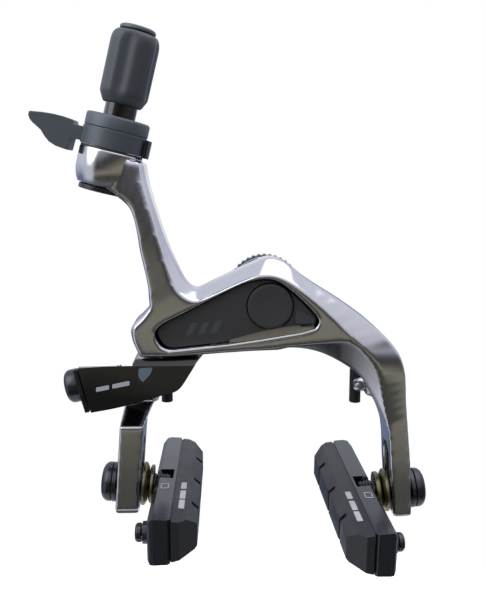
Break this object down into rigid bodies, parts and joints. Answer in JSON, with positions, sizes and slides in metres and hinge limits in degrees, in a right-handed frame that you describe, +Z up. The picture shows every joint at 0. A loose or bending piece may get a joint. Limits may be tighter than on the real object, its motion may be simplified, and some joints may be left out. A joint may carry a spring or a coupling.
{
  "type": "rim brake caliper",
  "caption": "Side-pull road rim brake caliper with one centre pivot, a cable link, a barrel adjuster with quick release, and cartridge brake shoes on slotted legs.",
  "frame": {"origin": "on the centre bolt's axis, at the toothed washer's rear face, where the caliper meets the fork crown", "axes": "+X to the right seen from the front, +Y back along the centre bolt towards the fork crown, +Z up"},
  "size_m": [0.0984, 0.064, 0.1279],
  "materials": {
    "polished_aluminium": "polished clear anodised forging",
    "black_gloss": "gloss black anodised",
    "black_anodised": "matte black anodised",
    "composite": "satin charcoal composite",
    "grip_rubber": "satin moulded elastomer",
    "pad_rubber": "moulded brake compound",
    "nylon": "moulded black nylon",
    "holder_alloy": "satin black coated cartridge",
    "steel": "bright zinc plated",
    "dark_steel": "black oxide",
    "bearing_bronze": "dull oiled bronze"
  },
  "bodies": {
    "pivot": {"center_bolt": "steel", "toothed_washer": "black_anodised", "spring_block": "nylon", "return_spring": "steel", "thrust_washer": "bearing_bronze", "pivot_nut": "dark_steel", "pivot_cap": "composite"},
    "front_arm": {"front_arm": "polished_aluminium", "window_insert": "composite", "front_arm_bush": "bearing_bronze", "tension_screw": "steel", "roller_pin": "dark_steel", "spring_slipper_right": "nylon", "adjuster_bushing": "nylon", "retaining_ring": "dark_steel", "release_collar": "black_anodised", "release_clip": "dark_steel"},
    "cam_roller": {"cam_roller": "steel"},
    "left_arm": {"left_arm": "polished_aluminium", "left_arm_bush": "bearing_bronze", "link_pivot_bolt": "dark_steel", "spring_slipper_left": "nylon"},
    "cable_link": {"cable_link": "black_gloss", "clamp_plate": "dark_steel", "anchor_bolt": "dark_steel", "link_bush": "bearing_bronze"},
    "release_lever": {"release_lever": "black_anodised"},
    "adjuster_screw": {"adjuster_screw": "black_gloss"},
    "housing_seat": {"housing_seat": "black_anodised"},
    "adjuster_knob": {"adjuster_knob": "grip_rubber"},
    "left_pad_mount": {"left_pad_bolt": "dark_steel", "left_outer_washer": "steel", "left_dished_washer": "bearing_bronze", "left_ball_washer": "bearing_bronze"},
    "left_shoe": {"left_pad_holder": "holder_alloy", "left_brake_pad": "pad_rubber", "left_retention_screw": "dark_steel"},
    "right_pad_mount": {"right_pad_bolt": "dark_steel", "right_outer_washer": "steel", "right_dished_washer": "bearing_bronze", "right_ball_washer": "bearing_bronze"},
    "right_shoe": {"right_pad_holder": "holder_alloy", "right_brake_pad": "pad_rubber", "right_retention_screw": "dark_steel"}
  },
  "joints": [
    {"name": "front_arm_pivot", "type": "hinge", "parent": "pivot", "child": "front_arm", "pos_m": [0, -0.02, 0], "axis": [0, 1, 0], "range_deg": [0, 4], "stiffness_Nm_per_rad": 2, "springref_deg": -22.92, "deforming": ["return_spring"]},
    {"name": "left_arm_pivot", "type": "hinge", "parent": "pivot", "child": "left_arm", "pos_m": [0, -0.012, 0], "axis": [0, 1, 0], "range_deg": [-4, 0]},
    {"name": "link_pivot", "type": "hinge", "parent": "left_arm", "child": "cable_link", "pos_m": [-0.0253, -0.018, -0.0172], "axis": [0, 1, 0], "range_deg": [0, 28.1]},
    {"name": "cam_roller_spin", "type": "hinge", "parent": "front_arm", "child": "cam_roller", "pos_m": [-0.0296, -0.0182, -0.0099], "axis": [0, 1, 0], "continuous": true},
    {"name": "release_lever_turn", "type": "hinge", "parent": "front_arm", "child": "release_lever", "pos_m": [-0.038, -0.02, 0.037], "axis": [0.2419, 0, 0.9703], "range_deg": [0, 100]},
    {"name": "screw_drop", "type": "slide", "parent": "front_arm", "child": "adjuster_screw", "axis": [-0.2419, 0, -0.9703], "range_m": [0, 0.0025]},
    {"name": "barrel_lift", "type": "slide", "parent": "adjuster_screw", "child": "housing_seat", "axis": [0.2419, 0, 0.9703], "range_m": [0, 0.005]},
    {"name": "barrel_turn", "type": "hinge", "parent": "housing_seat", "child": "adjuster_knob", "pos_m": [-0.0331, -0.02, 0.0566], "axis": [0.2419, 0, 0.9703], "range_deg": [0, 1801]},
    {"name": "left_pad_height", "type": "slide", "parent": "left_arm", "child": "left_pad_mount", "axis": [0.0802, 0, 0.9968], "range_m": [-0.001, 0.009]},
    {"name": "left_pad_tilt", "type": "hinge", "parent": "left_pad_mount", "child": "left_shoe", "pos_m": [-0.029, -0.018, -0.0485], "axis": [-0.9968, 0, 0.0802], "range_deg": [-12, 12]},
    {"name": "right_pad_height", "type": "slide", "parent": "front_arm", "child": "right_pad_mount", "axis": [-0.0802, 0, 0.9968], "range_m": [-0.0004, 0.01]},
    {"name": "right_pad_tilt", "type": "hinge", "parent": "right_pad_mount", "child": "right_shoe", "pos_m": [0.0277, -0.018, -0.0511], "axis": [0.9968, 0, 0.0802], "range_deg": [-12, 12]}
  ],
  "couplings": [
    {"joint": "left_arm_pivot", "follows": "front_arm_pivot", "ratio": -1},
    {"joint": "link_pivot", "follows": "front_arm_pivot", "ratio": 7},
    {"joint": "screw_drop", "follows": "release_lever_turn", "m_per_rad": 0.001375},
    {"joint": "barrel_turn", "follows": "barrel_lift", "rad_per_m": 6283}
  ]
}
